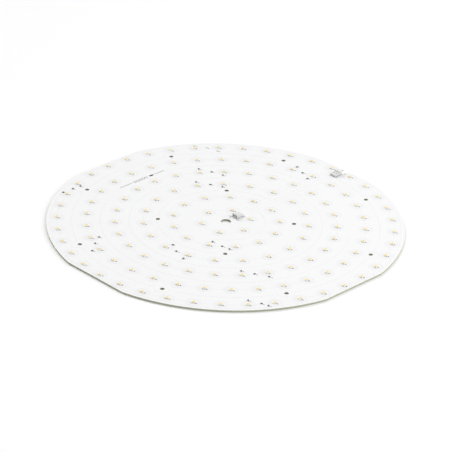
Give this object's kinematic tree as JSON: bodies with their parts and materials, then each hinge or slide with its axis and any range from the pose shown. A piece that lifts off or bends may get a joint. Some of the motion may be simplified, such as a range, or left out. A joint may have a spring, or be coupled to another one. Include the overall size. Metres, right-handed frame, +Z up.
{
  "type": "led module",
  "caption": "Round white LED light-engine board with rings of warm-white LEDs, chip resistors and two push-in wire terminals",
  "frame": {"origin": "centre of the board on its underside, the face it rests on", "axes": "+Z up out of the LED side, +X from the wire hole in the middle towards the wire notch in the rim"},
  "size_m": [0.293, 0.293, 0.0048],
  "materials": {
    "board": "white satin solder mask over glass-epoxy laminate, olive-green routed edges",
    "led": "white moulded housing, warm yellow phosphor fill, tinned leads",
    "chip": "black glassy coat on a ceramic body, matt tinned ends",
    "housing": "white moulded polyamide, fine satin",
    "contact": "tin-plated copper alloy strip"
  },
  "bodies": {
    "root": {"circuit_board": "board", "led_ring_1": "led", "led_ring_2": "led", "led_ring_3": "led", "led_ring_4": "led", "led_ring_5": "led", "led_ring_6": "led", "chip_resistor_01": "chip", "chip_resistor_02": "chip", "chip_resistor_03": "chip", "chip_resistor_04": "chip", "chip_resistor_05": "chip", "chip_resistor_06": "chip", "chip_resistor_07": "chip", "chip_resistor_08": "chip", "chip_resistor_09": "chip", "chip_resistor_10": "chip", "chip_resistor_11": "chip", "chip_resistor_12": "chip", "chip_resistor_13": "chip", "chip_resistor_14": "chip", "chip_resistor_15": "chip", "chip_resistor_16": "chip", "chip_resistor_17": "chip", "chip_resistor_18": "chip", "chip_resistor_19": "chip", "chip_resistor_20": "chip", "chip_resistor_21": "chip", "chip_resistor_22": "chip", "chip_resistor_23": "chip", "chip_resistor_24": "chip", "chip_resistor_25": "chip", "chip_resistor_26": "chip", "chip_resistor_27": "chip", "chip_resistor_28": "chip", "chip_resistor_29": "chip", "chip_resistor_30": "chip", "centre_terminal_housing": "housing", "centre_terminal_contact_1": "contact", "centre_terminal_contact_2": "contact", "rim_terminal_housing": "housing", "rim_terminal_contact_1": "contact", "rim_terminal_contact_2": "contact"}
  },
  "joints": []
}
